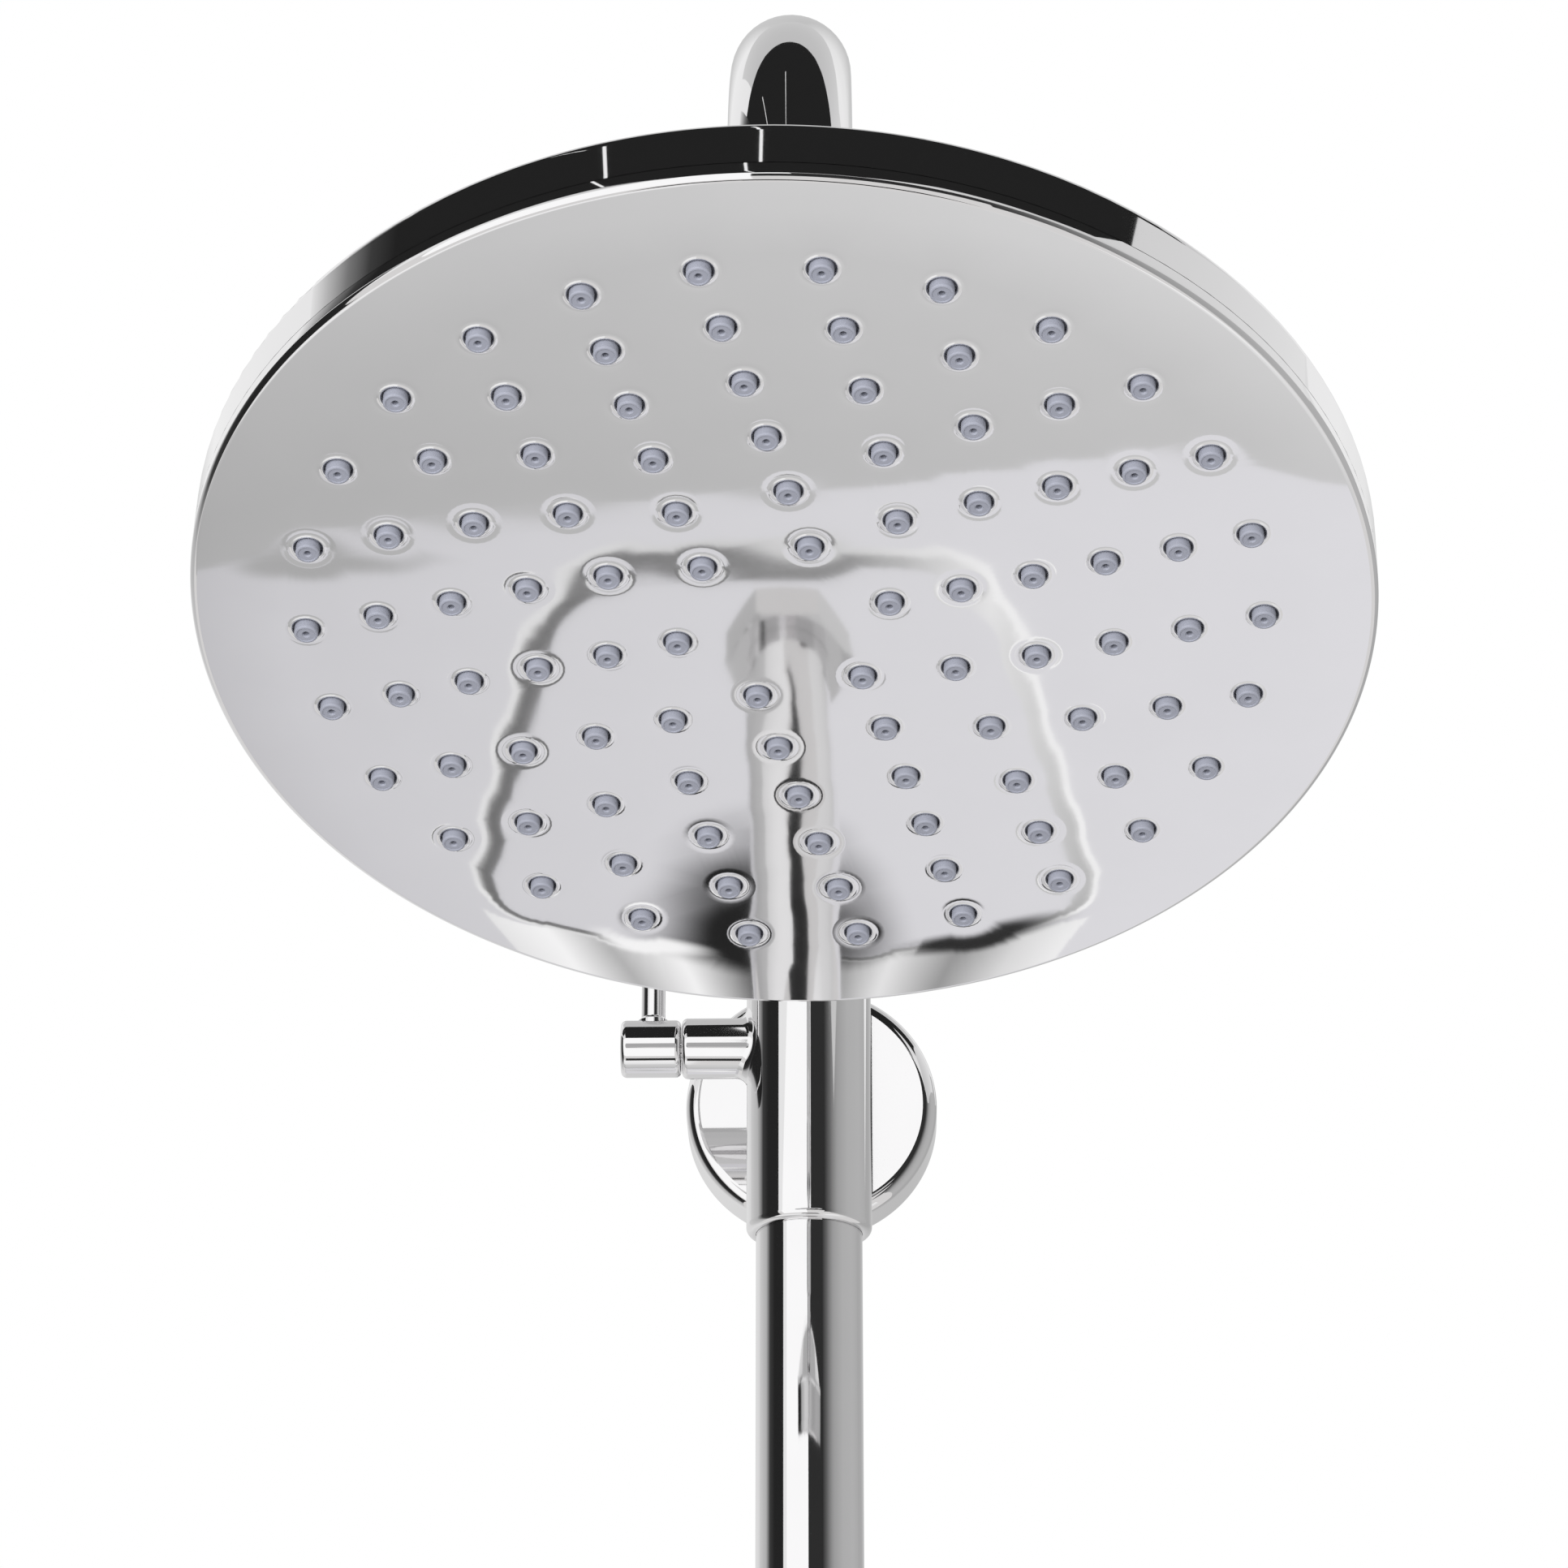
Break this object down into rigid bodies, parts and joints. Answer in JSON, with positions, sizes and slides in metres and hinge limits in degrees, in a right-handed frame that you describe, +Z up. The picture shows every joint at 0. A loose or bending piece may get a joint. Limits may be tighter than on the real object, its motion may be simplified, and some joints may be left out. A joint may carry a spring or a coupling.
{
  "type": "overhead shower set",
  "caption": "Wall-mounted rain shower set: riser pipe with an in-line lever valve on a wall bracket, swan-neck swivel arm and round overhead shower on a ball joint.",
  "frame": {"origin": "centre of the wall plate's back face, on the wall", "axes": "+Z up along the riser, +Y into the wall, -Y into the room, +X to the right seen from the room"},
  "size_m": [0.2001, 0.3863, 0.6402],
  "materials": {
    "chrome": "polished chrome plate on brass",
    "plated_plastic": "polished chrome plate on moulded plastic",
    "brass": "turned",
    "steel": "stainless, as machined",
    "seal_rubber": "matt black seal rubber",
    "nozzle_silicone": "bluish grey silicone, satin",
    "white_plastic": "natural white bearing plastic",
    "grey_plastic": "moulded grey"
  },
  "bodies": {
    "riser": {"valve_body": "chrome", "valve_seats": "white_plastic", "seat_ring": "brass", "spindle_gland": "brass", "pipe_spigot": "brass", "pipe_o_rings": "seal_rubber", "lower_pipe": "chrome", "arm_grub_screw": "steel", "pipe_grub_screw": "steel", "bracket_post": "chrome", "post_grub_screw": "steel", "wall_plate": "steel", "inlet_tail": "brass", "inlet_washer": "seal_rubber"},
    "rosette": {"rosette": "chrome"},
    "inlet_nut": {"inlet_nut": "chrome"},
    "flow_lever": {"valve_ball": "chrome", "spindle": "brass", "spindle_o_rings": "seal_rubber", "lever_knob": "chrome", "lever_rod": "chrome"},
    "arm": {"arm_spigot": "brass", "arm_o_rings": "seal_rubber", "arm_tube": "chrome", "arm_nipple": "chrome", "swivel_ball": "chrome", "flow_limiter": "white_plastic", "filter_screen": "steel", "arm_washer": "seal_rubber"},
    "ball_ring": {"ball_o_ring": "seal_rubber"},
    "head": {"ball_collar": "chrome", "ball_seat": "white_plastic", "head_shell": "plated_plastic", "face_plate": "plated_plastic", "nozzle_mat": "nozzle_silicone", "spray_plate": "grey_plastic", "plate_screws": "steel", "head_seal": "seal_rubber"}
  },
  "joints": [
    {"name": "rosette_slide", "type": "slide", "parent": "riser", "child": "rosette", "axis": [0, -1, 0], "range_m": [0, 0.014]},
    {"name": "inlet_nut_spin", "type": "hinge", "parent": "riser", "child": "inlet_nut", "pos_m": [0, -0.047, -0.494], "axis": [0, 0, 1], "continuous": true},
    {"name": "flow_lever_turn", "type": "hinge", "parent": "riser", "child": "flow_lever", "pos_m": [0, -0.047, 0], "axis": [1, 0, 0], "range_deg": [0, 90]},
    {"name": "arm_swivel", "type": "hinge", "parent": "riser", "child": "arm", "pos_m": [0, -0.047, 0.03], "axis": [0, 0, 1], "range_deg": [-70, 70]},
    {"name": "head_turn", "type": "hinge", "parent": "arm", "child": "ball_ring", "pos_m": [0, -0.28, 0.0232], "axis": [0, 0, 1], "continuous": true},
    {"name": "head_tilt", "type": "hinge", "parent": "ball_ring", "child": "head", "pos_m": [0, -0.28, 0.0232], "axis": [0.9987, -0.0506, 0], "range_deg": [-2, 41]}
  ]
}
